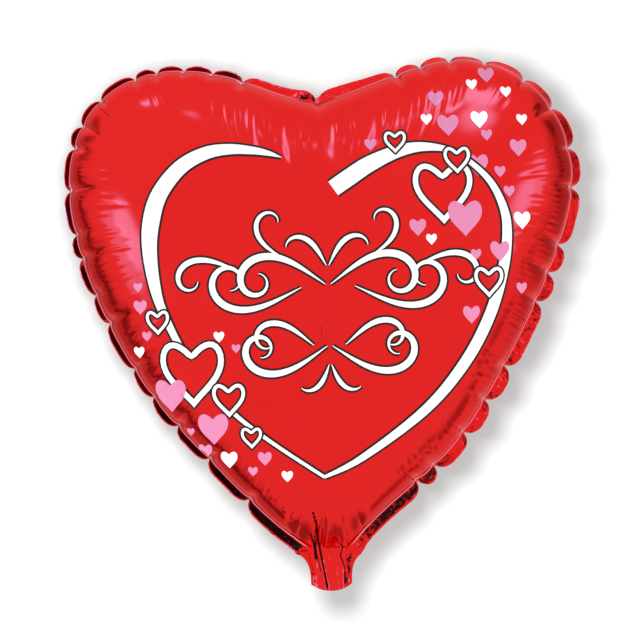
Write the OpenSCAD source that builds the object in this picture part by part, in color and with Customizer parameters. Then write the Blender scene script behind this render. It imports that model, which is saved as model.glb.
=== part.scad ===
// Heart-shaped foil balloon, inflated and upright.
// +Z runs up from the tail to the lobes, -Y is the printed front, +X is to the viewer's right.
// The origin is the middle of the neck, on the line where the tail folds.
// Film, valve and ink are drawn thicker than the real films, so that each is a closed solid.

/* [Envelope] */
// Width of the inflated balloon over its welded flange
envelope_w = 400; // [360:5:440]
// Thickness of the inflated balloon, front to back
envelope_d = 160; // [120:5:180]
// Width of the welded flange at the middle of a scallop
flange_w = 7; // [5:0.5:9]
// How far the seam is drawn in at each pucker between two scallops
pucker = 3; // [1:0.5:4]
// Drawn thickness of the foil film
film_t = 0.5; // [0.4:0.05:0.8]

/* [Neck and tail] */
// Width of the neck and tail
tail_w = 32; // [32:1:36]
// Length of the tail below its fold line
tail_l = 23; // [18:1:30]
// Radius of the tail's rounded end
tail_end_r = 28; // [24:1:40]
// Gap on each side of the fold line, so that the tail can turn
fold_gap = 1.2; // [1.1:0.1:1.6]

/* [Valve] */
// Width of the flat valve tube
valve_w = 26; // [22:1:27]
// Width of the weld along each long edge of the valve tube
valve_weld_w = 3; // [2:0.5:4]
// Drawn thickness of one valve film
valve_t = 0.4; // [0.3:0.05:0.45]
// Height of the free end of the inner sleeve above the fold line
sleeve_top = 128; // [90:1:150]
// Depth of the passage sunk into each valve film
passage_t = 0.1; // [0.05:0.01:0.15]

/* [Mesh] */
// Columns of facets in each scallop
scallop_steps = 4; // [3:1:5]
// Rings of facets from the seam to the crown of a panel
rings = 9; // [6:1:10]

/* [Hidden] */

foil_red = [0.80, 0.05, 0.07];
valve_film = [0.90, 0.92, 0.94];
ink_grey = [0.55, 0.60, 0.66];

// The seam is drawn for a balloon of this width, and scales with envelope_w.
drawn_w = 400;
k = envelope_w / drawn_w;
crown = [0, 240 * k];     // the thickest point of the balloon, in X and Z
half_d = envelope_d / 2;
throat_top = 9;           // top of the weld across the neck
sleeve_gap = 1.5;         // bend of the film between the throat weld and the free sleeve
inlet_end = -tail_l + 4;  // the valve stops short of the tail's end

// Right half of the seam, as cubic curves from the cleft to the neck.
// Each row is [start, control, control, end, number of scallops].
seam_curves = [
    [[0, 357], [24, 357], [61, 382], [112, 382], 3],
    [[112, 382], [157, 382], [193.5, 349], [193.5, 297], 4],
    [[193.5, 297], [193.5, 232], [144, 147], [111, 104], 6],
    [[111, 104], [79, 63], [43, 37], [tail_w / 2 / k - 2, throat_top / k], 5],
];

function bezier(c, t) =
    pow(1 - t, 3) * c[0] + 3 * pow(1 - t, 2) * t * c[1]
    + 3 * (1 - t) * t * t * c[2] + pow(t, 3) * c[3];

function bezier_slope(c, t) =
    pow(1 - t, 2) * (c[1] - c[0]) + 2 * (1 - t) * t * (c[2] - c[1]) + t * t * (c[3] - c[2]);

function outward(c, t) =
    let (d = bezier_slope(c, t), n = [-d[1], d[0]]) n / norm(n);

// How full a scallop is at a share u of its length: 0 at a pucker, 1 in its middle.
function fullness(u) = pow(sin(180 * u), 0.6);

// One column of the panel: [seam point, outer point, fullness, lift of the weld face from Y = 0].
function side_column(c, t, u) =
    let (
        full = fullness(u),
        n = outward(c, t),
        seam = k * bezier(c, t) - (pucker * (1 - full)) * n,
        outer = seam + (0.45 + 0.55 * full) * flange_w * n
    )
    [seam, outer, full, 0];

side_columns = [
    for (c = seam_curves)
        for (i = [0 : c[4] * scallop_steps - 1])
            let (t = i / (c[4] * scallop_steps))
                side_column(c, t, (i % scallop_steps) / scallop_steps)
];

// The seam's end at the neck, where the flange runs into the tail's side.
corner_column = [[tail_w / 2 - 2, throat_top], [tail_w / 2, fold_gap], 1, 0];

// The neck is welded round the valve, so its faces stand off by one valve film.
slot_x = valve_w / 2 + 0.3;
neck_columns = [
    for (x = [slot_x, slot_x / 2, 0, -slot_x / 2, -slot_x])
        [[x, throat_top], [x, fold_gap], 1, valve_t]
];

function flip(column) =
    [[-column[0][0], column[0][1]], [-column[1][0], column[1][1]], column[2], column[3]];

right_columns = concat(side_columns, [corner_column]);
columns = concat(
    right_columns,
    neck_columns,
    [for (i = [len(right_columns) - 1 : -1 : 1]) flip(right_columns[i])]
);
n_columns = len(columns);

// How square the section is along a ray from the crown: rounder on the lobes, sharper towards the neck.
function squareness(p) =
    let (d = p - crown, down = max(0, -d[1] / norm(d))) 2.4 - 0.7 * pow(down, 3);

// A shallow valley runs down from the cleft and fades before the crown.
function valley(p, a) =
    let (d = p - crown, turn = atan2(d[0], d[1])) 0.10 * exp(-pow(turn / 20, 2)) * pow(cos(a), 2);

// A point of the dome on ring i of a column, shrunk inwards by `inset` for the inner face.
function dome_point(column, i, inset) =
    let (
        a = 90 * i / rings,
        e = 2 / squareness(column[0]),
        ray = column[0] - crown,
        reach = (norm(ray) - inset) / norm(ray) * pow(cos(a), e),
        groove = 0.16 * (1 - column[2]) * pow(cos(a), 8),
        lift = column[3] * pow(cos(a), 4),
        height = (half_d - film_t) * pow(sin(a), e),
        p = crown + reach * ray
    )
    [p[0], lift + film_t - inset + height * (1 - groove) * (1 - valley(column[0], a)), p[1]];

// Points of one face of the back panel: outer edge, seam, rings, crown.
function face_points(inset) = concat(
    [for (c = columns) [c[1][0], c[3] + film_t - inset, c[1][1]]],
    [for (i = [0 : rings - 1]) for (c = columns) dome_point(c, i, inset)],
    [[crown[0], half_d - inset, crown[1]]]
);

// Triangles of one face; `turned` reverses them.
function face_triangles(first, turned) =
    let (
        top = first + (rings + 1) * n_columns,
        strips = [
            for (r = [0 : rings - 1]) for (j = [0 : n_columns - 1])
                let (
                    next = (j + 1) % n_columns,
                    a = first + r * n_columns + j,
                    b = first + r * n_columns + next,
                    c = a + n_columns,
                    d = b + n_columns
                )
                each [[a, b, d], [a, d, c]]
        ],
        fan = [
            for (j = [0 : n_columns - 1])
                [first + rings * n_columns + j, first + rings * n_columns + (j + 1) % n_columns, top]
        ]
    )
    [for (t = concat(strips, fan)) turned ? [t[0], t[2], t[1]] : t];

// One foil sheet: a dome of film with its own half of the welded flange round it.
module panel() {
    n_face = (rings + 1) * n_columns + 1;
    edge = [
        for (j = [0 : n_columns - 1])
            let (next = (j + 1) % n_columns)
                each [[j, j + n_face, next + n_face], [j, next + n_face, next]]
    ];
    polyhedron(
        points = concat(face_points(0), face_points(film_t)),
        faces = concat(face_triangles(0, false), face_triangles(n_face, true), edge)
    );
}

module back_panel() { color(foil_red) panel(); }
module front_panel() { color(foil_red) mirror([0, 1, 0]) panel(); }

// Raises a drawing made in X and Z to a slab from Y = from to Y = to.
module slab(from, to) {
    translate([0, to, 0]) rotate([90, 0, 0]) linear_extrude(height = to - from) children();
}

module tail_outline() {
    intersection() {
        translate([-tail_w / 2, -tail_l]) square([tail_w, tail_l - fold_gap]);
        translate([0, tail_end_r - tail_l]) circle(r = tail_end_r, $fn = 180);
    }
}

// Back film of the tail. Its sides are welded to the front film, and its middle stands off for the valve.
module tail_film() {
    difference() {
        slab(0, valve_t + film_t) tail_outline();
        slab(-1, valve_t)
            translate([-slot_x, -tail_l - 1]) square([2 * slot_x, tail_l + 1]);
    }
}

module tail_back() { color(foil_red) tail_film(); }
module tail_front() { color(foil_red) mirror([0, 1, 0]) tail_film(); }

// Back film of a stretch of the valve tube, with the passage sunk into its inner face.
module valve_strip(bottom, top) {
    passage_w = valve_w - 2 * valve_weld_w;
    difference() {
        slab(0, valve_t) translate([-valve_w / 2, bottom]) square([valve_w, top - bottom]);
        slab(-1, passage_t)
            translate([-passage_w / 2, bottom - 1]) square([passage_w, top - bottom + 2]);
    }
}

module valve_inlet_back() { color(valve_film) valve_strip(inlet_end, -fold_gap); }
module valve_inlet_front() { color(valve_film) mirror([0, 1, 0]) valve_strip(inlet_end, -fold_gap); }
module valve_throat_back() { color(valve_film) valve_strip(fold_gap, throat_top); }
module valve_throat_front() { color(valve_film) mirror([0, 1, 0]) valve_strip(fold_gap, throat_top); }
module valve_sleeve_back() { color(valve_film) valve_strip(throat_top + sleeve_gap, sleeve_top); }
module valve_sleeve_front() {
    color(valve_film) mirror([0, 1, 0]) valve_strip(throat_top + sleeve_gap, sleeve_top);
}

// Heat-resistant ink on the front film's inner face, which keeps the neck weld from closing the passage.
module release_ink() {
    ink_w = valve_w - 2 * valve_weld_w - 1;
    ink_edge = 0.5;
    color(ink_grey)
        slab(-passage_t, 0)
            translate([-ink_w / 2, fold_gap + ink_edge])
                square([ink_w, throat_top - fold_gap - 2 * ink_edge]);
}

front_panel();
back_panel();
tail_front();
tail_back();
valve_inlet_front();
valve_inlet_back();
valve_throat_front();
valve_throat_back();
valve_sleeve_front();
valve_sleeve_back();
release_ink();
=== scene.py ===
"""Looks of the heart-shaped foil balloon: two wrinkled foil sheets, the print and the valve films.

Lengths in this file are in millimetres where they shape the balloon, and go to metres when a mesh is made.
"""

import math

import bpy
import numpy as np
from mathutils import Matrix, Vector
from mathutils.bvhtree import BVHTree
from mathutils.geometry import delaunay_2d_cdt


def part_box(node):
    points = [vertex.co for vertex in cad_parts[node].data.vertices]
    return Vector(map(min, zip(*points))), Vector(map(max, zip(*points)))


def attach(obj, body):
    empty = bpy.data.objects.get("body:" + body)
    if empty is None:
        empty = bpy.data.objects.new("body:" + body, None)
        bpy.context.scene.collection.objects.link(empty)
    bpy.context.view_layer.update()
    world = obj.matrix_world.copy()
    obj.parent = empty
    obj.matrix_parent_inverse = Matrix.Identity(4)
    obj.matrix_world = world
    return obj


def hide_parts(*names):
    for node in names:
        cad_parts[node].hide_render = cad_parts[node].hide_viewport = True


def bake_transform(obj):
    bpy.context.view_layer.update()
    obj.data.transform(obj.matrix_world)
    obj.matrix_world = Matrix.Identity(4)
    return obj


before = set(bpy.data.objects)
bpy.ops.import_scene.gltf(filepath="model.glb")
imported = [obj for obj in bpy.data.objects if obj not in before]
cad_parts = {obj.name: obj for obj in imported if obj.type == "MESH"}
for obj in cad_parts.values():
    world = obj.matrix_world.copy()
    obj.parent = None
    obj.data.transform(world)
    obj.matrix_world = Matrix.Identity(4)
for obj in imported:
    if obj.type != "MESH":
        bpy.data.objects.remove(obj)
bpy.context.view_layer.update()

MM = 0.001

# ---------------------------------------------------------------- sizes from the frame
PANEL_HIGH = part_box("back_panel")[1]
TAIL_LOW, TAIL_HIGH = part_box("tail_back")
VALVE_LOW, VALVE_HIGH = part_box("valve_inlet_back")
HALF_WIDTH = PANEL_HIGH.x / MM
HALF_DEPTH = PANEL_HIGH.y / MM
TAIL_HALF = TAIL_HIGH.x / MM
TAIL_END = TAIL_LOW.z / MM
VALVE_HALF = VALVE_HIGH.x / MM
VALVE_THICK = VALVE_HIGH.y / MM
THROAT_TOP = 9        # top of the weld across the neck, where the sleeve starts
VALVE_ROOM_TOP = 24   # the foil stands clear of the valve up to here
TAIL_END_RADIUS = 28

DRAWN_HALF_WIDTH = 199.5   # the curves below are drawn for this half width
FIT = HALF_WIDTH / DRAWN_HALF_WIDTH
CROWN = np.array([0, 240]) * FIT   # the thickest point, in X and Z

# The seam's two halves, as cubic curves from the cleft to the neck. An inflated seam is never quite even.
NECK_CORNER = (14, 9)
SEAM_RIGHT = [
    [(0, 357), (14, 355), (76, 386), (109, 386)],
    [(109, 386), (155, 386), (196, 352), (196, 293)],
    [(196, 293), (196, 240), (132, 135), (115, 110)],
    [(115, 110), (82, 61), (47, 52), NECK_CORNER],
]
SEAM_LEFT = [
    [(0, 357), (32, 357), (59, 384), (110, 384)],
    [(110, 384), (152, 384), (194, 357), (194, 295)],
    [(194, 295), (194, 237), (155, 150), (108, 100)],
    [(108, 100), (67, 55), (44, 29), NECK_CORNER],
]
# Widths of the scallops between puckers, from the cleft to the neck.
SCALLOPS_RIGHT = [64, 20, 23, 27, 33, 30, 33, 30, 45, 23, 24, 55, 30, 30, 34, 18, 74]
SCALLOPS_LEFT = [60, 24, 22, 21, 17, 31, 24, 18, 33, 34, 19, 30, 24, 40, 26, 29, 35, 44, 62]
# How far the flange leans back, in degrees, at a share of the way from the cleft to the neck.
LEAN_RIGHT = [
    (0, 30), (0.08, 50), (0.15, 66), (0.28, 66), (0.36, 48), (0.5, 36), (0.65, 18), (0.9, 20), (1, 30),
]
LEAN_LEFT = [(0, 30), (0.08, 55), (0.2, 62), (0.4, 60), (0.6, 60), (0.78, 56), (0.9, 38), (1, 28)]
# How crumpled the flange is, in degrees, in the same way.
CRUMPLE_RIGHT = [(0, 24), (0.1, 20), (0.14, 5), (0.45, 8), (0.6, 36), (1, 40)]
CRUMPLE_LEFT = [(0, 24), (0.1, 14), (0.14, 4), (0.7, 6), (0.85, 30), (1, 40)]
# Painted shade: how dark the flange's colour is painted where its turned-back film would mirror dark
# surroundings, in the same way.
SHADE_RIGHT = [
    (0, 0.2), (0.1, 0.3), (0.14, 0.05), (0.38, 0.08), (0.5, 0.3),
    (0.58, 0.46), (0.8, 0.38), (0.88, 0.62), (0.97, 0.6), (1, 0.2),
]
SHADE_LEFT = [
    (0, 0.6), (0.004, 0.62), (0.022, 0.55), (0.03, 0.3), (0.1, 0.35), (0.11, 0.95),
    (0.14, 1), (0.8, 1), (0.88, 0.9), (0.97, 0.85), (1, 0.3),
]
DOME_POWER = 0.47          # how square the dome's section is: a half makes it a rounded ellipse

# ---------------------------------------------------------------- mesh density
SIDE_COLUMNS = 704
NECK_COLUMNS = 64
COLUMNS = 2 * SIDE_COLUMNS + NECK_COLUMNS
DOME_ROWS = 56
TAIL_ROWS = 26
FLANGE_MARKS = [0, 0.05, 0.08, 0.11, 0.16, 0.28, 0.42, 0.56, 0.7, 0.82, 0.91, 1]
FLANGE_WIDTH = 10.5
NECK_RISE = 1.3            # how far the film stands off over the valve at the neck
FILM_GAP = 0.12            # from the middle of the weld to each sheet's face
WELD_LEDGE = 0.10          # the share of the flange next to the seam that stays flat


# ---------------------------------------------------------------- small helpers
def smooth(low, high, x):
    t = np.clip((x - low) / (high - low), 0, 1)
    return t * t * (3 - 2 * t)


def bezier(curve, t):
    a, b, c, d = (np.array(p, float) for p in curve)
    t = t[:, None]
    return (1 - t) ** 3 * a + 3 * (1 - t) ** 2 * t * b + 3 * (1 - t) * t * t * c + t ** 3 * d


def along(points):
    steps = np.linalg.norm(np.diff(points, axis=0), axis=1)
    return np.concatenate([[0], np.cumsum(steps)])


def respaced(points, count):
    """The line again, as count + 1 evenly spaced points."""
    run = along(points)
    at = np.linspace(0, run[-1], count + 1)
    return np.stack([np.interp(at, run, points[:, k]) for k in range(points.shape[1])], axis=1)


def chain(curves, samples=300):
    t = np.linspace(0, 1, samples, endpoint=False)
    ends = [np.array([curves[-1][-1]], float)]
    return np.vstack([bezier(c, t) for c in curves] + ends)


def blurred(values, width):
    """A closed loop of values, blurred by a bell curve of that many samples."""
    reach = np.arange(-3 * width, 3 * width + 1)
    bell = np.exp(-0.5 * (reach / width) ** 2)
    bell /= bell.sum()
    return sum(w * np.roll(values, -int(k), axis=0) for w, k in zip(bell, reach))


def waves(x, y, seed, size, count=24):
    """Smooth random waves of about that size, between about -1 and 1."""
    rng = np.random.default_rng(seed)
    total = np.zeros_like(x)
    turns = rng.uniform(0, 2 * math.pi, count)
    phases = rng.uniform(0, 2 * math.pi, count)
    stretches = rng.uniform(0.6, 1.6, count)
    for turn, phase, stretch in zip(turns, phases, stretches):
        k = 2 * math.pi / (size * stretch)
        total += np.sin(k * (x * math.cos(turn) + y * math.sin(turn)) + phase)
    return total / math.sqrt(count)


def mesh_object(name, points, faces, material, smooth_faces=True):
    """A mesh object from points in millimetres."""
    mesh = bpy.data.meshes.new(name)
    mesh.from_pydata((np.asarray(points, float) * MM).tolist(), [], faces)
    mesh.update()
    mesh.polygons.foreach_set("use_smooth", [smooth_faces] * len(mesh.polygons))
    made = bpy.data.objects.new(name, mesh)
    bpy.context.scene.collection.objects.link(made)
    made.data.materials.append(material)
    return made


# ---------------------------------------------------------------- the seam
class Seam:
    """The closed line of columns round the balloon: the right side, the neck, then the left side upwards."""

    def __init__(self):
        right = respaced(chain(SEAM_RIGHT), SIDE_COLUMNS) * FIT
        left = respaced(chain(SEAM_LEFT), SIDE_COLUMNS) * FIT
        neck_x = np.linspace(right[-1][0], -left[-1][0], NECK_COLUMNS + 1)
        neck = np.stack([neck_x, np.full(NECK_COLUMNS + 1, right[-1][1])], axis=1)
        self.point = np.vstack([right[:-1], neck[:-1], left[::-1][:-1] * [-1, 1]])
        self.length = [along(right)[-1], along(left)[-1]]
        share = np.linspace(0, 1, SIDE_COLUMNS, endpoint=False)
        self.share = np.concatenate([share, np.ones(NECK_COLUMNS), 1 - share])
        self.side = np.concatenate([np.ones(SIDE_COLUMNS), np.zeros(NECK_COLUMNS), -np.ones(SIDE_COLUMNS)])
        closed = np.vstack([self.point, self.point[:1]])
        self.run = along(closed)[:-1]
        self.total = along(closed)[-1]
        ahead = np.roll(self.point, -1, axis=0) - np.roll(self.point, 1, axis=0)
        self.normal = np.stack([-ahead[:, 1], ahead[:, 0]], axis=1)
        self.normal /= np.linalg.norm(self.normal, axis=1)[:, None]
        soft = blurred(self.normal, 12)
        self.soft_normal = soft / np.linalg.norm(soft, axis=1)[:, None]
        self.puckers = np.sort(np.append(self.pucker_runs(), 0))

    def pucker_runs(self):
        """Where the puckers are, along the loop."""
        found = []
        for widths, side in ((SCALLOPS_RIGHT, 0), (SCALLOPS_LEFT, 1)):
            marks = np.cumsum(widths)[:-1] / sum(widths) * self.length[side]
            found += list(marks if side == 0 else self.total - marks)
        return np.sort(np.array(found))

    def apart(self, run):
        """Distance along the loop from a place on it to every column."""
        gap = np.abs(self.run - run)
        return np.minimum(gap, self.total - gap)

    def signed(self, run):
        gap = self.run - run
        return (gap + self.total / 2) % self.total - self.total / 2

    def scallop(self):
        """For each column, the distance to the nearest pucker and the width of its scallop."""
        order = np.searchsorted(self.puckers, self.run)
        above, below = self.puckers[order % len(self.puckers)], self.puckers[order - 1]
        width = (above - below) % self.total
        gap = np.minimum((above - self.run) % self.total, (self.run - below) % self.total)
        return gap, width

    def by_side(self, right, left):
        """A value along the loop, from one list of (share of the side, value) for each side."""
        right, left = np.interp(self.share, *zip(*right)), np.interp(self.share, *zip(*left))
        return np.where(self.side > 0, right, left)

    def from_corners(self):
        """Distance along the loop from the nearer of the neck's two corners."""
        corners = (self.length[0], self.length[0] + 2 * NECK_CORNER[0] * FIT)
        return np.minimum(self.apart(corners[0]), self.apart(corners[1]))

    def corner_turn(self):
        """1 at the neck's two corners, fading to 0 along the sides."""
        return 1 - smooth(0, 14, self.from_corners())


# ---------------------------------------------------------------- creases
def crease_list(seam, rng):
    """Every crease of one sheet: (place, depth, width, start, length, drift, sharpness), in millimetres."""
    creases = []
    for place in seam.puckers:
        strong = rng.uniform(0, 1) ** 2
        depth, width, length = 0.9 + 1.5 * strong, 1.5 + 1.3 * strong, 8 + 26 * strong
        creases.append((place, depth, width, 0, length, rng.uniform(-4, 4), 1))
        for _ in range(2):
            near = place + rng.uniform(-6, 6)
            depth, width = rng.uniform(0.3, 0.8), rng.uniform(1.0, 1.6)
            start, length = rng.uniform(0, 2), rng.uniform(4, 15)
            creases.append((near, depth, width, start, length, rng.uniform(-2, 2), 1))
    return creases


def group(creases, rng, start_run, end_run, spacing, depth, start, length):
    """A run of fine parallel wrinkles, side by side."""
    place = start_run
    while place < end_run:
        near = 1 - abs(2 * (place - start_run) / (end_run - start_run) - 1) ** 4
        deep, width = near * depth * rng.uniform(0.35, 1.2), spacing * rng.uniform(0.2, 0.3)
        begin, reach = start + rng.uniform(-3, 4), length * rng.uniform(0.6, 1.15)
        creases.append((place, deep, width, begin, reach, rng.uniform(-1.5, 1.5), 0))
        place += spacing * rng.uniform(0.75, 1.3)


def crease_depths(seam, creases, distance, reach):
    """How far each grid point is pressed in by the creases. Rows run inwards, columns along the seam."""
    pressed = np.zeros_like(distance)
    for place, depth, width, start, length, drift, sharp in creases:
        span = 6 * width + abs(drift)
        cols = np.nonzero(seam.apart(place % seam.total) < span / 0.45)[0]
        d = distance[:, cols]
        rows = np.nonzero(d.min(1) < start + length)[0]
        if not len(rows) or not len(cols):
            continue
        d = d[: rows[-1] + 1]
        t = np.clip((d - start) / length, 0, 1)
        across = (seam.signed(place % seam.total)[cols][None, :] + drift * t) * reach[: rows[-1] + 1, None]
        spread = width * (1 + 1.2 * t)
        if sharp:
            profile = np.exp(-np.sqrt((across / spread) ** 2 + 0.02) + 0.141)
            fade = (0.4 + 0.6 * smooth(0, 3, d)) * (1 - smooth(0.25, 1, t))
        else:
            profile = np.exp(-((across / spread) ** 2))
            fade = smooth(start, start + 0.3 * length, d) * (1 - smooth(0.45, 1, t))
        pressed[: rows[-1] + 1, cols] += depth * fade * profile
    return pressed


# ---------------------------------------------------------------- one foil sheet
# Runs of fine wrinkles: side, first and last place along it, spacing, depth, how far in they start, length.
# Places are distances from the cleft along the seam.
WRINKLE_RUNS = [
    (1, 1, 26, 4.6, 1.10, 16, 60), (1, 22, 56, 6.0, 1.00, 12, 64), (1, 56, 124, 5.4, 0.80, 8, 62),
    (1, 124, 205, 5.6, 0.35, 5, 36), (1, 228, 352, 4.4, 0.50, 3, 40), (1, 352, 450, 5.2, 0.22, 1, 30),
    (1, 450, 545, 6.0, 0.20, 4, 26),
    (-1, 1, 26, 4.2, 0.70, 20, 54), (-1, 22, 84, 4.6, 0.60, 14, 60), (-1, 96, 150, 6.0, 0.40, 6, 26),
    (-1, 212, 350, 4.2, 0.80, 4, 42), (-1, 350, 470, 4.6, 0.80, 3, 40), (-1, 470, 560, 5.0, 0.60, 4, 34),
]
# Folds that run up from the neck: place across it from the right corner, depth, length, drift.
NECK_FOLDS = [
    (-20, 0.6, 22, 2), (-4, 0.7, 30, -3), (5, 0.5, 22, -1), (12, 0.8, 26, 3),
    (21, 2.2, 44, 5), (26, 1.6, 40, 6), (46, 0.8, 30, -2),
]


def sheet_creases(seam, seed):
    rng = np.random.default_rng(seed)
    creases = crease_list(seam, rng)
    for side, first, last, *shape in WRINKLE_RUNS:
        ends = (first, last) if side > 0 else (seam.total - last, seam.total - first)
        group(creases, rng, *ends, *shape)
    for offset, depth, length, drift in NECK_FOLDS:
        creases.append((seam.length[0] + offset, depth, 1.5, 0, length, drift, 1))
    return creases


def cubic_weights(t):
    return (
        ((2 - t) * t - 1) * t / 2,
        ((3 * t - 5) * t * t + 2) / 2,
        ((4 - 3 * t) * t + 1) * t / 2,
        (t - 1) * t * t / 2,
    )


class Pressure:
    """A film stretched over the heart and pushed up by even pressure. Its height is only used as a share."""

    STEP = 2.0
    WALL = 12.0                # closer to the seam than this, the height is carried on by a curve

    def __init__(self, outline):
        self.low = outline.min(0) - 4 * self.STEP
        counts = np.ceil((outline.max(0) + 4 * self.STEP - self.low) / self.STEP).astype(int)
        x = self.low[0] + self.STEP * np.arange(counts[0])
        z = self.low[1] + self.STEP * np.arange(counts[1])
        inside = np.array([self.row_inside(outline, x, height) for height in z])
        odd = (np.add.outer(np.arange(counts[1]), np.arange(counts[0])) % 2).astype(bool)
        lift = np.zeros(inside.shape)
        for _ in range(420):
            for part in (inside & odd, inside & ~odd):
                around = np.roll(lift, 1, 0) + np.roll(lift, -1, 0)
                around = around + np.roll(lift, 1, 1) + np.roll(lift, -1, 1)
                lift[part] += 1.96 * ((around[part] + 1) / 4 - lift[part])
        self.lift = lift / lift.max()

    @staticmethod
    def row_inside(outline, x, height):
        """Which of the places x, on a line at that height, are inside the outline."""
        here, there = outline, np.roll(outline, -1, axis=0)
        crossing = (here[:, 1] > height) != (there[:, 1] > height)
        here, there = here[crossing], there[crossing]
        at = here[:, 0] + (height - here[:, 1]) / (there[:, 1] - here[:, 1]) * (there[:, 0] - here[:, 0])
        return (x[None, :] > at[:, None]).sum(0) % 2 == 1

    def share(self, flat):
        """The film's height at places in X and Z, between 0 at the seam and 1 at the crown."""
        spot = (flat - self.low) / self.STEP
        cell = np.clip(np.floor(spot).astype(int), 1, np.array(self.lift.shape)[::-1] - 3)
        across, up = cubic_weights(spot[..., 0] - cell[..., 0]), cubic_weights(spot[..., 1] - cell[..., 1])
        total = 0
        for i in range(4):
            for j in range(4):
                total = total + across[i] * up[j] * self.lift[cell[..., 1] + j - 1, cell[..., 0] + i - 1]
        return np.clip(total, 0, 1)


def neck_lens(x):
    """How far the film stands off over the valve, across the neck: 1 in the middle and 0 at the sides."""
    return np.clip(1 - (np.abs(x) / (VALVE_HALF + 1.5)) ** 3, 0, 1) ** 0.8


def dome_grid(seam, pressure, start):
    """The dome of a sheet without its creases, bulging towards +Y: rows from the seam towards the crown."""
    to_crown = np.linalg.norm(CROWN - start, axis=1)
    inward = -seam.soft_normal
    # A meridian leaves the seam square to it, then bends towards the crown without crossing the middle line.
    towards_middle = inward[:, 0] * start[:, 0] < 0
    to_middle = np.where(towards_middle, np.abs(start[:, 0]) / np.maximum(np.abs(inward[:, 0]), 0.05), 1e3)
    lead = blurred(np.minimum(0.42 * to_crown, 0.4 * to_middle + 4), 14)
    bend = start + lead[:, None] * inward
    v = (np.linspace(0, 1, 140) ** 2)[:, None, None]
    flat = (1 - v) ** 2 * start + 2 * (1 - v) * v * bend + v ** 2 * CROWN
    share = pressure.share(flat)
    steps = np.linalg.norm(np.diff(flat, axis=0), axis=2)
    away = np.vstack([np.zeros(COLUMNS), np.cumsum(steps, axis=0)])
    # near the seam, a parabola that meets the film's height and slope
    for column in range(COLUMNS):
        run, rise = away[:, column], share[:, column]
        wall = min(Pressure.WALL, 0.3 * run[-1])
        low, high = np.interp((wall, wall + 3), run, rise)
        curve = ((high - low) / 3 - low / wall) / wall
        near = run < wall
        share[near, column] = run[near] * (low / wall + curve * (run[near] - wall))
    neck = np.where(seam.side == 0, 1, 1 - smooth(0, 34, seam.from_corners()))
    height = (HALF_DEPTH - 0.8) * np.clip(share, 0, 1) ** DOME_POWER * (1 - neck * np.exp(-away / 15))
    height += np.where(seam.side == 0, 1, 0) * NECK_RISE * neck_lens(flat[..., 0]) * np.exp(-away / 12)
    line = np.stack([flat[..., 0], height, flat[..., 1]], axis=-1)
    steps = np.linalg.norm(np.diff(line, axis=0), axis=2)
    run = np.vstack([np.zeros(COLUMNS), np.cumsum(steps, axis=0)])
    marks = (np.arange(DOME_ROWS) / DOME_ROWS) ** 1.5
    grid = np.empty((DOME_ROWS, COLUMNS, 3))
    distance = np.empty((DOME_ROWS, COLUMNS))
    for column in range(COLUMNS):
        at = marks * run[-1, column]
        for axis in range(3):
            grid[:, column, axis] = np.interp(at, run[:, column], line[:, column, axis])
        distance[:, column] = np.interp(at, run[:, column], away[:, column])
    return grid, distance


def sheet_grid(seam, pressure, facing, seed):
    """The dome of one sheet as rows x columns x 3. facing is -1 for the front."""
    rng = np.random.default_rng(7)
    pull = sum(rng.uniform(0.7, 1.7) * np.exp(-seam.apart(place) / 2.6) for place in seam.puckers)
    start = seam.point - pull[:, None] * seam.soft_normal
    grid, distance = dome_grid(seam, pressure, start)
    reach = np.linalg.norm(grid[..., [0, 2]] - CROWN, axis=2)
    reach = (reach / reach[0]).mean(1)

    gap, width = seam.scallop()
    pillow = np.sqrt(np.clip(2 * gap / np.minimum(width, 30), 0, 1)) * np.minimum(width, 30) / 30
    swell = 1.0 * pillow * smooth(0, 3, distance) * np.exp(-distance / 9)
    push = swell - crease_depths(seam, sheet_creases(seam, seed), distance, reach)
    push += 0.5 * waves(grid[..., 0], grid[..., 2], seed + 1, 110) * smooth(5, 60, distance)

    grid = grid + push[..., None] * grid_normals(grid)
    grid[..., 1] = np.maximum(grid[..., 1], FILM_GAP)
    inside_valve = (np.abs(grid[..., 0]) < VALVE_HALF + 0.5) & (grid[..., 2] < VALVE_ROOM_TOP)
    grid[..., 1] = np.where(inside_valve, np.maximum(grid[..., 1], VALVE_THICK + 0.2), grid[..., 1])
    # clear of the free sleeve of the valve, which may lean by 15 degrees either way
    over_sleeve = (np.abs(grid[..., 0]) < VALVE_HALF + 1) & (grid[..., 2] > THROAT_TOP)
    room = VALVE_THICK + 0.3 + 0.3 * np.clip(grid[..., 2] - THROAT_TOP, 0, 40)
    grid[..., 1] = np.where(over_sleeve, np.maximum(grid[..., 1], room), grid[..., 1])
    grid[..., 1] *= facing
    return grid


def grid_normals(grid):
    """Outward normals of a dome grid that bulges towards +Y."""
    down = np.gradient(grid, axis=0)
    around = np.roll(grid, -1, axis=1) - np.roll(grid, 1, axis=1)
    normal = np.cross(around, down)
    normal /= np.maximum(np.linalg.norm(normal, axis=2), 1e-9)[..., None]
    return normal * np.where(normal[..., 1] < -0.2, -1, 1)[..., None]


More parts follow.
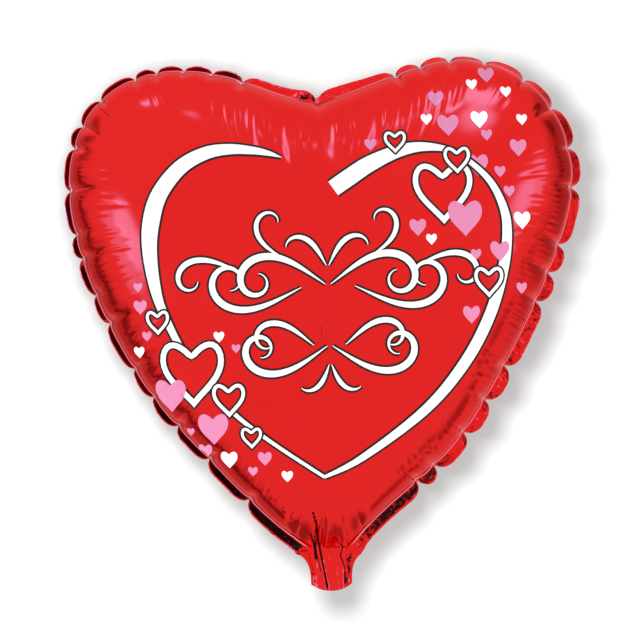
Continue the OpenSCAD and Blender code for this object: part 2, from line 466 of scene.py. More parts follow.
def flange_rows(seam, first_row, facing):
    """The welded flange outside the seam, shared by both sheets, as rows from the rim to the seam."""
    middle = seam.by_side(LEAN_RIGHT, LEAN_LEFT) + 4 * waves(seam.run, 0 * seam.run, 5, 60)
    # each petal between two puckers is open in its middle and turned right back at its ends
    gap, width = seam.scallop()
    t = np.clip(gap / np.minimum(width / 2, 13), 0, 1)
    opened = np.sqrt(1 - (1 - t) ** 2) * 0.97 + 0.03
    opened = np.maximum(opened, 0.6 * np.exp(-(seam.apart(0) / 7) ** 2))
    lean = np.degrees(np.arccos(np.cos(np.radians(middle)) * opened))
    crumple = seam.by_side(CRUMPLE_RIGHT, CRUMPLE_LEFT)
    curl = np.where(seam.side > 0, 20, 48)
    corner = seam.corner_turn()
    along_tail = np.stack([np.sign(seam.point[:, 0]) * 0.9, np.full(COLUMNS, -0.43)], axis=1)
    direction = seam.soft_normal * (1 - corner)[:, None] + along_tail * corner[:, None]
    direction /= np.linalg.norm(direction, axis=1)[:, None]
    lean = lean * (1 - corner)
    out, back = np.zeros(COLUMNS), np.zeros(COLUMNS)
    rows = []
    for inner, outer in zip(FLANGE_MARKS, FLANGE_MARKS[1:]):
        mark = (inner + outer) / 2
        bent = lean - curl * smooth(0.84, 1, mark) * (1 - corner)
        turn = np.radians(bent * smooth(WELD_LEDGE - 0.03, WELD_LEDGE + 0.03, mark))
        step = (outer - inner) * FLANGE_WIDTH
        out, back = out + step * np.cos(turn), back + step * np.sin(turn)
        offset = FILM_GAP * facing
        place = first_row[:, [0, 2]] + (out - offset * np.sin(turn))[:, None] * direction
        level = np.full(COLUMNS, outer * FLANGE_WIDTH)
        ripple = waves(seam.run, level, 9, 7) + 0.5 * waves(seam.run, level, 8, 3.5)
        ripple *= crumple / 60 * smooth(0.1, 0.3, outer) * opened
        rows.append(np.stack([place[:, 0], back + ripple + offset * np.cos(turn), place[:, 1]], axis=1))
    return rows[::-1]


def flange_shade(seam):
    """How dark and how bright the flange's colour is painted at each point, as painted shade and painted
    highlight: two lists of rows, rim first.
    """
    middle = seam.by_side(SHADE_RIGHT, SHADE_LEFT)
    fold = 1 - smooth(0.4, 1.6, seam.scallop()[0])
    shade, bright = [], []
    for mark in FLANGE_MARKS[1:]:
        # painted shade on each petal, left out at the rim, next to the seam and at the puckers
        shade.append(middle * smooth(0.06, 0.16, mark) * (1 - smooth(0.80, 0.93, mark)) * (1 - fold))
        # painted highlight: a bright line next to the seam, a bright V at each pucker and a brighter rim on
        # the darkest petals
        rim = 0.35 * smooth(0.88, 1, mark) * (middle > 0.6) * (seam.side <= 0)
        bright.append(np.maximum(1 - smooth(0.02, 0.1, mark), 0.8 * fold * (1 - 0.5 * mark)) + rim)
    return shade[::-1], bright[::-1]


# Creases of the tail: X where they start at the neck, X where they end, depth and width.
TAIL_CREASES = [
    (-8, -3.1, 1.8, 0.9), (9, 10.2, 1.2, 0.8), (-11, -13, 0.8, 0.8), (4, 5.5, 0.7, 0.6), (-2, 0.5, 0.5, 0.7),
]


# Painted shade: dark lines painted on the front film along sharp folds and small wrinkles, and darker
# patches on the tail's sides: points in X and Z, half width, strength.
PAINTED_FOLD_SHADE = [
    ([(-13, 42), (-10.2, 30), (-9.8, 19), (-7.6, 5), (-5.6, -7), (-3.1, -20)], 0.7, 1.0),
    ([(-10, 34), (-12, 20), (-11, 6), (-8, -8)], 0.4, 0.75),
    ([(-15, 22), (-12.5, 12), (-11.5, 2)], 1.1, 0.7),
    ([(3.5, 19), (9.5, 11), (7.5, 4), (10.5, -5), (10.2, -18)], 0.5, 0.85),
    ([(13, 14), (12, 3), (13.5, -8), (12, -17)], 0.5, 0.6),
    ([(15.5, 8), (13.5, -6), (12.5, -18)], 1.8, 0.5), ([(-18, 9), (-14.5, -5), (-13, -18)], 1.6, 0.46),
    ([(-16, 24), (-4, 22), (8, 23), (16, 26)], 0.25, 0.5),
    ([(-54, 63), (-33, 40), (-14, 22)], 0.45, 0.62),
    ([(-44, 62), (-47, 57)], 0.35, 0.7), ([(-38, 56), (-41, 50)], 0.35, 0.7),
    ([(-33, 50), (-36, 44)], 0.35, 0.7), ([(-27, 43), (-30, 38)], 0.35, 0.7),
    ([(-22, 38), (-25, 32)], 0.35, 0.6), ([(121, 161), (133, 154)], 0.35, 0.55),
    ([(118, 153), (129, 146)], 0.4, 0.6), ([(116, 145), (126, 138)], 0.35, 0.55),
    ([(146, 196), (158, 190)], 0.4, 0.6), ([(143, 189), (155, 182)], 0.5, 0.62),
    ([(140, 182), (151, 175)], 0.4, 0.58), ([(95, 106), (105, 97)], 0.4, 0.6),
    ([(90, 101), (100, 92)], 0.35, 0.5), ([(55, 72), (68, 60)], 0.45, 0.7), ([(60, 76), (71, 66)], 0.3, 0.5),
    ([(-168, 357), (-158, 347)], 0.4, 0.6), ([(-171, 351), (-161, 344)], 0.35, 0.5),
]


def fold_shade(points):
    """How dark each point's colour is painted for lying on one of the lines of painted fold shade."""
    spots = points[:, [0, 2]]
    shade = np.zeros(len(spots))
    for line, half_width, strength in PAINTED_FOLD_SHADE:
        line = np.array(line, float)
        for a, b in zip(line, line[1:]):
            t = np.clip((spots - a) @ (b - a) / ((b - a) @ (b - a)), 0, 1)
            gap = np.linalg.norm(spots - a - t[:, None] * (b - a), axis=1)
            shade = np.maximum(shade, strength * (1 - smooth(0.6, 1.5, gap / half_width)))
    return shade


def tail_rows(top, facing, seed):
    """The tail below a line of points across the neck, as rows downwards. Its mouth stands a little open."""
    widest = np.abs(top[:, 0]).max()
    rows = []
    for i in range(1, TAIL_ROWS + 1):
        t = i / TAIL_ROWS
        narrowed = 1 - (1 - t) ** 3.2
        x = top[:, 0] * ((1 - narrowed) + narrowed * TAIL_HALF / widest)
        end = TAIL_END + TAIL_END_RADIUS - np.sqrt(TAIL_END_RADIUS ** 2 - x ** 2)
        z = top[:, 2] + (end - top[:, 2]) * t
        opened = NECK_RISE + 0.8 * t + 2.0 * smooth(0.5, 1, t)
        lens = neck_lens(x)
        start = 1 - smooth(0, 0.35, t)
        y = start * np.abs(top[:, 1]) + (1 - start) * (FILM_GAP + opened * lens)
        for begin, finish, depth, width in TAIL_CREASES:
            middle = begin + (finish - begin) * t
            press = -0.6 if facing > 0 else 1
            y -= depth * smooth(0, 0.2, t) * np.exp(-np.abs(x - middle) / width) * press * lens
        rows.append(np.stack([x, y, z], axis=1))
    grid = np.array(rows)
    grid[..., 1] += 0.22 * waves(grid[..., 0], grid[..., 2], seed + 3, 8)
    valve = (np.abs(grid[..., 0]) < VALVE_HALF + 0.4) & (grid[..., 2] > VALVE_LOW.z / MM - 0.5)
    grid[..., 1] = np.maximum(grid[..., 1], np.where(valve, VALVE_THICK + 0.2, FILM_GAP))
    grid[..., 1] *= facing
    return grid


def halving_faces(outer, inner, flip):
    """Faces between a row of columns and the next row, which has half as many."""
    n = len(inner)
    faces = []
    for j in range(n):
        a, b, c = outer[2 * j], outer[(2 * j + 1) % (2 * n)], outer[(2 * j + 2) % (2 * n)]
        d, e = inner[j], inner[(j + 1) % n]
        faces += [(a, b, d), (b, e, d), (b, c, e)]
    return [f[::-1] for f in faces] if flip else faces


def foil_sheet(name, seam, pressure, facing, seed, material):
    """One sheet of foil: flange, dome and tail in one piece."""
    dome = sheet_grid(seam, pressure, facing, seed)
    dome[0, :, 1] = np.where(seam.side == 0, dome[0, :, 1], FILM_GAP * facing)
    flange = flange_rows(seam, dome[0], facing)
    points = []
    faces = []

    def add(rows):
        first = len(points)
        points.extend(rows.tolist())
        return list(range(first, first + len(rows)))

    def strip(upper, lower, closed=False):
        n = len(upper)
        for j in range(n if closed else n - 1):
            k = (j + 1) % n
            face = (upper[j], upper[k], lower[k], lower[j])
            faces.append(face if facing > 0 else face[::-1])

    seam_ids = ids = add(dome[0])
    reach = np.linalg.norm(dome[..., [0, 2]] - CROWN, axis=2)
    reach = (reach / reach[0]).mean(1)
    for row in range(1, DOME_ROWS):
        step = COLUMNS // len(ids)
        if reach[row] < 0.62 / step and len(ids) > COLUMNS // 8:
            new = add(dome[row][:: 2 * step])
            faces.extend(halving_faces(ids, new, facing < 0))
        else:
            new = add(dome[row][::step])
            strip(ids, new, closed=True)
        ids = new
    middle = add(np.array([[CROWN[0], dome[-1, :, 1].mean(), CROWN[1]]]))[0]
    for j in range(len(ids)):
        face = (ids[j], ids[(j + 1) % len(ids)], middle)
        faces.append(face if facing > 0 else face[::-1])

    # The flange follows the two sides only; below the neck it runs on as the tail's edges.
    sides = list(range(SIDE_COLUMNS + NECK_COLUMNS, COLUMNS)) + list(range(SIDE_COLUMNS + 1))
    left_end, right_end, flange_ids = [], [], []
    upper = None
    for row in flange:
        new = add(row[sides])
        flange_ids.append(new)
        left_end.append(new[0])
        right_end.append(new[-1])
        if upper:
            strip(upper, new)
        upper = new
    strip(upper, [seam_ids[c] for c in sides])
    across_neck = [seam_ids[c] for c in range(SIDE_COLUMNS, SIDE_COLUMNS + NECK_COLUMNS + 1)]
    upper = right_end + across_neck + left_end[::-1]
    for row in tail_rows(np.array([points[i] for i in upper]), facing, seed):
        new = add(row)
        strip(new, upper)
        upper = new
    made = mesh_object(name, points, faces, material)
    # painted shade from the fold lines and the flange, and painted highlight along the seam and on the
    # flange, kept as attributes for the foil's colour
    shade = fold_shade(np.array(points)) if facing < 0 else np.zeros(len(points))
    bright = np.zeros(len(points))
    corner = seam.corner_turn()
    bright[seam_ids] = np.where(seam.side == 0, 0, 1 - smooth(0.3, 0.9, corner))
    for ids, dark_row, bright_row in zip(flange_ids, *flange_shade(seam)):
        shade[ids] = dark_row[sides] * (1 if facing < 0 else 0.4)
        bright[ids] = (bright_row * (1 - smooth(0.3, 0.9, corner)))[sides]
    made.data.attributes.new("shade", "FLOAT", "POINT").data.foreach_set("value", shade)
    made.data.attributes.new("weld", "FLOAT", "POINT").data.foreach_set("value", bright)
    return made


# ---------------------------------------------------------------- the print
# The brushed heart: X, Z and the stroke's width along each arm, from its top end to the heart's point.
BRUSH_ARMS = [
    [(-28, 310, 0.6), (-38, 313.5, 4), (-50, 316, 6), (-67, 317.5, 8), (-85, 315, 9.8), (-104, 305, 11.2),
     (-120, 286, 12.4), (-127, 266, 13), (-129, 244, 11.2), (-126, 217, 8.6), (-120, 196, 6.2),
     (-104, 163, 4.6), (-76, 126, 3.4), (-49, 102, 2.8), (-3, 69, 2.4)],
    [(10, 285, 12.6), (22, 293, 12.8), (38, 303, 12), (58, 311.5, 9.4), (77, 315, 7), (99, 312, 3.6),
     (113, 303, 3.8), (128, 288, 4.8), (137, 270, 6), (140, 252, 7.2), (137, 225, 8.2), (126, 189, 8.8),
     (106, 153, 8.6), (75, 118, 7.2), (26, 83, 5), (-3, 69, 2.4)],
]
# Scrolls of the ornament, drawn on both sides of its middle line:
# distance from that line, Z, heading, length, first and last rate of turn in degrees a millimetre, width.
ORNAMENT_MIDDLE = 4
SCROLLS = [
    (2, 214, 36, 120, 0.1, -8.4, 5.4),
    (20, 212, -26, 126, -0.1, 8.0, 5.0),
    (66, 226, 22, 78, 0.2, -9.8, 4.2),
    (32, 234, 30, 60, 0.4, 10, 3.4),
    (1, 228, 62, 44, 0.2, -9.0, 3.6),
    (2, 168, -34, 118, -0.1, 8.9, 5.2),
    (12, 169, 40, 70, 0.2, -9.8, 4.0),
    (1, 154, -70, 32, 0.1, 9.0, 3.2),
]
# Hearts: X and Z of the middle, and the width.
RING_HEARTS = [
    (-125, 189, 18), (-100, 149, 49), (-73, 129, 25), (-57, 100, 16),
    (92, 279, 45), (57.5, 319, 16.5), (103.5, 304, 20), (125, 212, 22.5),
]
HIDDEN_PINK_HEARTS = [(119, 300, 16)]
PINK_HEARTS = [
    (130, 371, 12.5), (90, 352, 12), (98, 331, 16), (127, 323, 8.5), (151, 313, 13), (136, 295, 8.5),
    (142.5, 280, 8.5), (108, 260, 26), (72, 254, 12.5), (134, 235, 15), (115.5, 233, 8), (151, 207, 8.5),
    (111, 188, 13), (39, 317.5, 9), (-139, 216, 7), (-138, 201, 10.5), (-134, 179, 7.5),
    (-118, 133, 24.5), (-86, 107, 23.5), (-93.5, 89.5, 11),
    (-47.5, 84, 10.5), (-57, 74, 7.5), (-66, 168, 6.5), (-104, 105, 6),
]
WHITE_HEARTS = [
    (118, 363, 8.5), (144, 357, 8.5), (82, 336, 8.5), (122, 335, 13), (155, 335, 8.5), (152, 258, 13),
    (82, 245, 8), (-141, 167, 8.5), (-78.5, 177, 8), (-75, 83, 13), (-31, 70, 8.5),
]
INK_LINE = 1.45            # width of the dark outline
INK_LIFT = 0.22            # height of the ink's mesh over the foil's
INK_STEP = 1.3             # size of its triangles


def heart_outline(x, z, width, grow=0):
    """A heart by its middle and width, with its outline moved outwards by `grow`."""
    t = np.linspace(0, 2 * math.pi, 44, endpoint=False)
    across = 16 * np.sign(np.sin(t)) * np.abs(np.sin(t)) ** 2.1
    up = 13 * np.cos(t) - 5 * np.cos(2 * t) - 2 * np.cos(3 * t) - np.cos(4 * t) + 2.5
    up += 2 * ((1 + np.cos(t)) / 2) ** 12
    outline = np.stack([x + across * width / 32, z + up * width / 28.5], axis=1)
    if not grow:
        return outline
    ahead = np.roll(outline, -1, axis=0) - np.roll(outline, 1, axis=0)
    ahead[len(t) // 2] = (-1, 0)
    ahead /= np.linalg.norm(ahead, axis=1)[:, None]
    return outline + np.stack([-ahead[:, 1], ahead[:, 0]], axis=1) * grow


def ribbon(points, widths):
    """The outline of a stroke of changing width."""
    ahead = np.gradient(points, axis=0)
    ahead /= np.linalg.norm(ahead, axis=1)[:, None]
    side = np.stack([-ahead[:, 1], ahead[:, 0]], axis=1) * (widths / 2)[:, None]
    return np.vstack([points + side, (points - side)[::-1]])


def arm(keys):
    """A smooth line through an arm's points: places and widths."""
    keys = np.array([keys[0], *keys, keys[-1]], float)
    t = np.linspace(0, 1, 7, endpoint=False)[:, None]
    parts = []
    for i in range(1, len(keys) - 2):
        parts.append(sum(w * keys[i - 1 + k] for k, w in enumerate(cubic_weights(t))))
    line = np.vstack(parts + [keys[-1:]])
    return line[:, :2], line[:, 2]


def scroll(x, z, heading, length, first_rate, last_rate, width):
    """A stroke that winds up into a spiral: places and widths."""
    t = np.linspace(0, 1, 56)
    step = length / (len(t) - 1)
    rate = first_rate + (last_rate - first_rate) * t ** 1.5
    turn = np.radians(heading + np.concatenate([[0], np.cumsum(rate[1:] + rate[:-1]) / 2 * step]))
    walked = np.cumsum(np.stack([np.cos(turn), np.sin(turn)], axis=1)[:-1] * step, axis=0)
    return np.vstack([[0, 0], walked]) + [x, z], 0.6 + (width - 0.6) * np.sin(math.pi * t) ** 1.2


def print_shapes():
    """Every printed shape in the order it is painted: (ink, outline). The ink None is bare foil."""
    shapes = [("pink", heart_outline(*heart)) for heart in HIDDEN_PINK_HEARTS]
    strokes = [arm(keys) for keys in BRUSH_ARMS]
    for x, z, heading, length, first_rate, last_rate, width in SCROLLS:
        strokes.append(scroll(ORNAMENT_MIDDLE + x, z, heading, length, first_rate, last_rate, width))
        strokes.append(scroll(ORNAMENT_MIDDLE - x, z, 180 - heading, length, -first_rate, -last_rate, width))
    for ink, extra in (("outline", 2.2 * INK_LINE), ("white", 0)):
        shapes += [(ink, ribbon(line, widths + extra)) for line, widths in strokes]
    for x, z, width in RING_HEARTS:
        band = 1.0 + 0.066 * width
        for ink, grow in (("outline", INK_LINE), ("white", 0), ("outline", -band), (None, -band - INK_LINE)):
            shapes.append((ink, heart_outline(x, z, width, grow)))
    shapes += [("pink", heart_outline(*heart)) for heart in PINK_HEARTS]
    shapes += [("white", heart_outline(*heart)) for heart in WHITE_HEARTS]
    return shapes


def inside(outline, spots):
    """Which spots are inside an outline. A stroke that crosses itself counts as inside all along it."""
    here, there = outline, np.roll(outline, -1, axis=0)
    area = (here[:, 0] * there[:, 1] - there[:, 0] * here[:, 1]).sum()
    winding = np.zeros(len(spots), int)
    box = (spots >= outline.min(0)).all(1) & (spots <= outline.max(0)).all(1)
    x, z = spots[box, 0][:, None], spots[box, 1][:, None]
    up = (here[:, 1] <= z) & (there[:, 1] > z)
    down = (here[:, 1] > z) & (there[:, 1] <= z)
    left = (there[:, 0] - here[:, 0]) * (z - here[:, 1]) - (x - here[:, 0]) * (there[:, 1] - here[:, 1])
    winding[box] = (up & (left > 0)).sum(1) - (down & (left < 0)).sum(1)
    return winding * np.sign(area) > 0


def print_pieces(foil, materials):
    """The print as one thin mesh for each ink, laid on the foil from the front."""
    shapes = print_shapes()
    corners, edges = [], []
    for _, outline in shapes:
        first = len(corners)
        corners += outline.tolist()
        edges += [(first + i, first + (i + 1) % len(outline)) for i in range(len(outline))]
    low, high = np.min(corners, axis=0), np.max(corners, axis=0)
    across, up = np.arange(low[0], high[0], INK_STEP), np.arange(low[1], high[1], INK_STEP)
    lattice = np.stack(np.meshgrid(across, up), axis=-1)
    lattice[1::2, :, 0] += INK_STEP / 2
    lattice = lattice.reshape(-1, 2)
    painted = np.zeros(len(lattice), bool)
    for ink, outline in shapes:
        if ink:
            painted |= inside(outline, lattice)
    spots = corners + lattice[painted].tolist()
    made = delaunay_2d_cdt([Vector(s) for s in spots], edges, [], 0, 1e-4)
    flat, triangles = np.array(made[0]), np.array(made[2])
    middle = flat[triangles].mean(1)
    owner = np.full(len(triangles), "", dtype=object)
    for ink, outline in shapes:
        owner[inside(outline, middle)] = ink or ""

    mesh = foil.data
    tree = BVHTree.FromPolygons([v.co for v in mesh.vertices], [tuple(p.vertices) for p in mesh.polygons])
    places, found = [], []
    for x, z in flat:
        spot, normal, _, _ = tree.ray_cast(Vector((x * MM, -1, z * MM)), Vector((0, 1, 0)))
        found.append(spot is not None)
        if spot is None:
            places.append((0, 0, 0))
            continue
        normal = normal if normal.y < 0 else -normal
        places.append(tuple((spot + normal * INK_LIFT * MM) / MM))
    places, found = np.array(places), np.array(found)
    pieces = []
    for ink, material in materials.items():
        chosen = triangles[(owner == ink) & found[triangles].all(1)]
        spans = np.ptp(places[chosen][:, :, 1], axis=1)
        chosen = chosen[spans < 6]
        used, index = np.unique(chosen, return_inverse=True)
        index = index.reshape(-1, 3)
        points = places[used]
        a, b, c = (points[index[:, k]] for k in range(3))
        turned = np.cross(b - a, c - a)[:, 1] > 0
        index[turned] = index[turned][:, ::-1]
        piece = mesh_object("print_" + ink, points, index.tolist(), material)
        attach(piece, "envelope")
        pieces.append(piece)
    return pieces


# ---------------------------------------------------------------- materials
def node_material(name):
    material = bpy.data.materials.new(name)
    material.use_nodes = True
    nodes, links = material.node_tree.nodes, material.node_tree.links
    return material, nodes, links, nodes["Principled BSDF"]


def noise(nodes, links, scale, detail=3.0, vector=None):
    made = nodes.new("ShaderNodeTexNoise")
    made.inputs["Scale"].default_value = scale
    made.inputs["Detail"].default_value = detail
    links.new(vector, made.inputs["Vector"])
    return made


def ranged(nodes, links, value, low, high):
    made = nodes.new("ShaderNodeMapRange")
    made.inputs["To Min"].default_value = low
    made.inputs["To Max"].default_value = high
    links.new(value, made.inputs["Value"])
    return made.outputs["Result"]


def mixed(nodes, links, factor, first, second, kind="MIX"):
    """A blend of two colours, each a constant or a socket."""
    made = nodes.new("ShaderNodeMix")
    made.data_type, made.blend_type = "RGBA", kind
    links.new(factor, made.inputs["Factor"])
    for socket, value in ((made.inputs["A"], first), (made.inputs["B"], second)):
        if isinstance(value, tuple):
            socket.default_value = (*value, 1)
        else:
            links.new(value, socket)
    return made.outputs["Result"]


def bumped(nodes, links, shader, height, strength, distance):
    bump = nodes.new("ShaderNodeBump")
    bump.inputs["Strength"].default_value = strength
    bump.inputs["Distance"].default_value = distance
    links.new(height, bump.inputs["Height"])
    links.new(bump.outputs["Normal"], shader.inputs["Normal"])


def foil_material():
    """Metallised red film: a mirror with a red tint, faint handling marks, a fine crinkle, and painted
    highlights and painted shade in its colour.
    """
    material, nodes, links, shader = node_material("foil_red")
    where = nodes.new("ShaderNodeTexCoord").outputs["Object"]
    tone = noise(nodes, links, 9, 2, where)
    colour = mixed(nodes, links, tone.outputs["Fac"], (0.74, 0.005, 0.005), (0.81, 0.010, 0.009))
    # painted highlight: a pale pink line along the weld, at the puckers and on petal rims, where the
    # mirroring film would catch the light
    weld = nodes.new("ShaderNodeAttribute")
    weld.attribute_name = "weld"
    painted_highlight_mask = ranged(nodes, links, weld.outputs["Fac"], 0, 0.8)
    with_painted_highlight = mixed(nodes, links, painted_highlight_mask, colour, (0.95, 0.42, 0.50))
    # painted shade: the colour is painted near black where the shade attribute is high, on the turned-back
    # flange that would mirror dark surroundings and on the lines of fold shade, broken into shards by noise
    shade = nodes.new("ShaderNodeAttribute")
    shade.attribute_name = "shade"
    shards = noise(nodes, links, 210, 2, where)
    shards.inputs["Distortion"].default_value = 1.2
    total = nodes.new("ShaderNodeMath")
    total.operation = "ADD"
    links.new(ranged(nodes, links, shards.outputs["Fac"], 0.1, 0.9), total.inputs[0])
    links.new(shade.outputs["Fac"], total.inputs[1])
    painted_dark_mask = nodes.new("ShaderNodeMapRange")
    painted_dark_mask.inputs["From Min"].default_value = 0.96
    painted_dark_mask.inputs["From Max"].default_value = 1.08
    links.new(total.outputs["Value"], painted_dark_mask.inputs["Value"])
    with_painted_shade = mixed(nodes, links, painted_dark_mask.outputs["Result"], with_painted_highlight, (0.012, 0.001, 0.002))
    links.new(with_painted_shade, shader.inputs["Base Color"])
    shader.inputs["Metallic"].default_value = 1.0
    shader.inputs["Specular Tint"].default_value = (0.9, 0.02, 0.03, 1)
    # no coat on the painted shade, so that it stays dark
    links.new(ranged(nodes, links, shade.outputs["Fac"], 0.3, 0.0), shader.inputs["Coat Weight"])
    shader.inputs["Coat Roughness"].default_value = 0.1
    marks = noise(nodes, links, 60, 4, where)
    links.new(ranged(nodes, links, marks.outputs["Fac"], 0.10, 0.20), shader.inputs["Roughness"])
    crinkle = noise(nodes, links, 130, 3, where)
    bumped(nodes, links, shader, crinkle.outputs["Fac"], 0.12, 0.0006)
    return material


def ink_material(name, colour, second, roughness=0.3, coat=0.25, gloss=0.5):
    """Gloss ink printed on the foil, with the faint mottle of a flexographic print."""
    material, nodes, links, shader = node_material(name)
    where = nodes.new("ShaderNodeTexCoord").outputs["Object"]
    mottle = noise(nodes, links, 700, 4, where)
    links.new(mixed(nodes, links, mottle.outputs["Fac"], colour, second), shader.inputs["Base Color"])
    rough = ranged(nodes, links, mottle.outputs["Fac"], roughness - 0.05, roughness + 0.08)
    links.new(rough, shader.inputs["Roughness"])
    shader.inputs["Coat Weight"].default_value = coat
    shader.inputs["Coat Roughness"].default_value = 0.1
    shader.inputs["Specular IOR Level"].default_value = gloss
    return material


def film_material():
    """Clear valve film: hazy polyethylene that lets light through."""
    material, nodes, links, shader = node_material("valve_film")
    where = nodes.new("ShaderNodeTexCoord").outputs["Object"]
    haze = noise(nodes, links, 220, 4, where)
    colour = mixed(nodes, links, haze.outputs["Fac"], (0.82, 0.86, 0.90), (0.93, 0.95, 0.97))
    links.new(colour, shader.inputs["Base Color"])
    links.new(ranged(nodes, links, haze.outputs["Fac"], 0.18, 0.38), shader.inputs["Roughness"])
    shader.inputs["Alpha"].default_value = 0.45
    bumped(nodes, links, shader, haze.outputs["Fac"], 0.2, 0.0003)
    return material


# ---------------------------------------------------------------- the studio
VIEW_WIDTH = 498           # width of the view where the seam is
LENS = 120
SENSOR = 36
ROLL = math.radians(1.75)  # the balloon hangs a little to one side
AIM = (-2.8, 0, 187.5)


def camera():
    data = bpy.data.cameras.new("camera")
    data.lens, data.sensor_width = LENS, SENSOR
    made = bpy.data.objects.new("camera", data)
    bpy.context.scene.collection.objects.link(made)
    right = Vector((math.cos(ROLL), 0, -math.sin(ROLL)))
    up = Vector((math.sin(ROLL), 0, math.cos(ROLL)))
    back = right.cross(up)
    place = Vector(AIM) * MM + back * (VIEW_WIDTH * MM * LENS / SENSOR)
    made.matrix_world = Matrix((
        (right.x, up.x, back.x, place.x),
        (right.y, up.y, back.y, place.y),
        (right.z, up.z, back.z, place.z),
        (0, 0, 0, 1),
    ))
    bpy.context.scene.camera = made


KEY_PLACE = (-0.080, -0.88, 0.265)
KEY_SIZE = 0.18
KEY_POWER = 20


def key_light():
    """A soft light close by, which draws the shadow on the wall."""
    data = bpy.data.lights.new("key", "AREA")
    data.shape = "RECTANGLE"
    data.size = data.size_y = KEY_SIZE
    data.energy = KEY_POWER
    made = bpy.data.objects.new("key", data)
    bpy.context.scene.collection.objects.link(made)
    made.location = KEY_PLACE
    made.rotation_euler = (Vector(KEY_PLACE) - Vector((0, 0, 0.2))).to_track_quat("Z", "Y").to_euler()
    made.visible_camera = made.visible_glossy = False
    return made


# What the foil mirrors, by angle:
# (turn from +X towards +Z, angle off the view axis, radius, softness, strength), in degrees.
DARK_PATCHES = [
    (172, 172, 28, 8, 0.65),       # behind
    (10, 116, 28, 14, 0.52),       # to the right
    (304, 124, 18, 12, 0.12),      # below, to the right
    (270, 112, 15, 5, 0.65),       # below
    (178, 116, 22, 14, 0.38),      # to the left
    (222, 110, 20, 12, 0.36),      # below, to the left
    (176, 100, 7, 2, 0.6), (188, 100, 7, 2, 0.6), (201, 100, 7, 2, 0.6),
    (214, 104, 5, 2, 0.7), (226, 100, 6, 2, 0.7), (238, 100, 6, 2, 0.7),
    (150, 100, 9, 4, 0.5), (28, 98, 7, 4, 0.6), (8, 100, 6, 3, 0.5), (322, 96, 6, 3, 0.6),
    (334, 88, 4, 2, 0.5), (305, 104, 6, 3, 0.5), (312, 88, 4, 2, 0.45), (346, 84, 4, 2, 0.4),
]
GLOW_PATCHES = [
    (181, 54, 7, 3, 13), (187, 66, 8, 4, 6),
    (99, 60, 1.6, 1, 10), (77, 57, 2.8, 1.2, 18), (67, 68, 9, 4, 15), (60, 52, 6, 3, 12),
    (4, 57, 5, 3, 12), (8, 68, 6, 3, 8), (-12, 60, 3, 2, 9), (113, 74, 2.5, 1.5, 18),
]


def studio_world():
    """A white room. The foil also mirrors dark patches and cool glows in it, and turns the glows pink."""
    world = bpy.data.worlds.new("studio")
    bpy.context.scene.world = world
    world.use_nodes = True
    nodes, links = world.node_tree.nodes, world.node_tree.links
    background = nodes["Background"]
    direction = nodes.new("ShaderNodeTexCoord").outputs["Generated"]

    def patch(turn, polar, radius, softness):
        """1 inside the patch and 0 outside it."""
        turn, polar = math.radians(turn), math.radians(polar)
        dot = nodes.new("ShaderNodeVectorMath")
        dot.operation = "DOT_PRODUCT"
        off = math.sin(polar)
        dot.inputs[1].default_value = (off * math.cos(turn), -math.cos(polar), off * math.sin(turn))
        links.new(direction, dot.inputs[0])
        made = nodes.new("ShaderNodeMapRange")
        made.interpolation_type = "SMOOTHSTEP"
        made.inputs["From Min"].default_value = math.cos(math.radians(radius + softness))
        made.inputs["From Max"].default_value = math.cos(math.radians(max(radius - softness, 0)))
        links.new(dot.outputs["Value"], made.inputs["Value"])
        return made.outputs["Result"]

    mirrored = (1, 1, 1)
    for *shape, strength in DARK_PATCHES:
        mirrored = mixed(nodes, links, patch(*shape), mirrored, (1 - strength,) * 3, "MULTIPLY")
    for *shape, strength in GLOW_PATCHES:
        glow = (0.02 * strength, 0.55 * strength, strength)
        mirrored = mixed(nodes, links, patch(*shape), mirrored, glow, "ADD")
    ray = nodes.new("ShaderNodeLightPath")
    lit = mixed(nodes, links, ray.outputs["Is Camera Ray"], (0.95, 0.95, 0.95), (1, 1, 1))
    seen = mixed(nodes, links, ray.outputs["Is Glossy Ray"], lit, mirrored)
    links.new(seen, background.inputs["Color"])


def plain_material(name, colour, glow):
    material, _, _, shader = node_material(name)
    shader.inputs["Base Color"].default_value = (*colour, 1)
    shader.inputs["Roughness"].default_value = 0.9
    shader.inputs["Specular IOR Level"].default_value = 0.0
    shader.inputs["Emission Color"].default_value = (1, 1, 1, 1)
    shader.inputs["Emission Strength"].default_value = glow
    return material


def wall_material():
    """Shows only from its front, so that a view from behind the balloon isn't blocked."""
    material = plain_material("wall_paint", (0.27, 0.28, 0.28), 0.30)
    nodes, links = material.node_tree.nodes, material.node_tree.links
    shader, out = nodes["Principled BSDF"], nodes["Material Output"]
    clear, mix = nodes.new("ShaderNodeBsdfTransparent"), nodes.new("ShaderNodeMixShader")
    links.new(nodes.new("ShaderNodeNewGeometry").outputs["Backfacing"], mix.inputs[0])
    links.new(shader.outputs[0], mix.inputs[1])
    links.new(clear.outputs[0], mix.inputs[2])
    links.new(mix.outputs[0], out.inputs["Surface"])
    return material


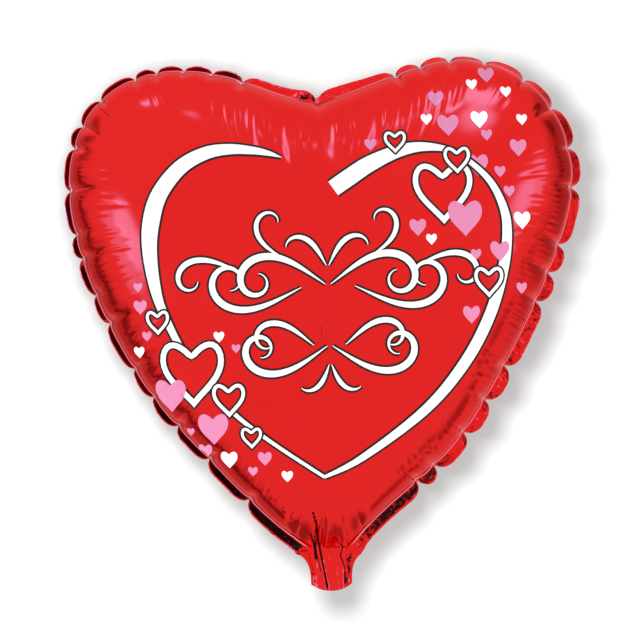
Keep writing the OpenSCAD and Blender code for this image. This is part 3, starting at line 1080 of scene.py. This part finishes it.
def backdrop(key):
    floor_z = TAIL_END - 45
    far = 3000
    floor = mesh_object(
        "floor", [(-far, -far, floor_z), (far, -far, floor_z), (far, far, floor_z), (-far, far, floor_z)],
        [(0, 1, 2, 3)], plain_material("floor_paint", (0.92, 0.92, 0.92), 0.7), smooth_faces=False)
    back = HALF_DEPTH + 18
    wall = mesh_object(
        "wall", [(-far, back, floor_z), (far, back, floor_z), (far, back, far), (-far, back, far)],
        [(0, 1, 2, 3)], wall_material(), smooth_faces=False)
    for piece in (floor, wall):
        piece.visible_glossy = False
    wall.visible_diffuse = wall.visible_shadow = wall.visible_transmission = False
    # the key is there for the shadow on the wall; the print is lit evenly by the room
    lit = bpy.data.collections.new("lit_by_key")
    lit.objects.link(wall)
    key.light_linking.receiver_collection = lit


def studio():
    bpy.context.scene.view_settings.view_transform = "Standard"
    studio_world()
    return key_light()


# ---------------------------------------------------------------- the scene
camera()
key = studio()
FOIL = foil_material()
seam = Seam()
pressure = Pressure(seam.point)
front_foil = foil_sheet("front_foil", seam, pressure, -1, 21, FOIL)
back_foil = foil_sheet("back_foil", seam, pressure, 1, 22, FOIL)
FOIL_NODES = ((front_foil, ("front_panel", "tail_front")), (back_foil, ("back_panel", "tail_back")))
for piece, nodes_replaced in FOIL_NODES:
    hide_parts(*nodes_replaced)
    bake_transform(piece)

print_pieces(front_foil, {
    "white": ink_material("ink_white", (0.90, 0.90, 0.89), (0.95, 0.95, 0.94)),
    "pink": ink_material("ink_pink", (0.69, 0.225, 0.40), (0.74, 0.25, 0.43), coat=0.03, gloss=0.15),
    "outline": ink_material(
        "ink_outline", (0.016, 0.009, 0.007), (0.026, 0.015, 0.012), roughness=0.5, coat=0, gloss=0.12),
})

FILM = film_material()
for name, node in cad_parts.items():
    if name.startswith("valve_"):
        node.data.materials.clear()
        node.data.materials.append(FILM)
INK = ink_material("release_ink", (0.48, 0.53, 0.60), (0.58, 0.63, 0.70), roughness=0.6, coat=0)
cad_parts["release_ink"].data.materials.clear()
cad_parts["release_ink"].data.materials.append(INK)

backdrop(key)
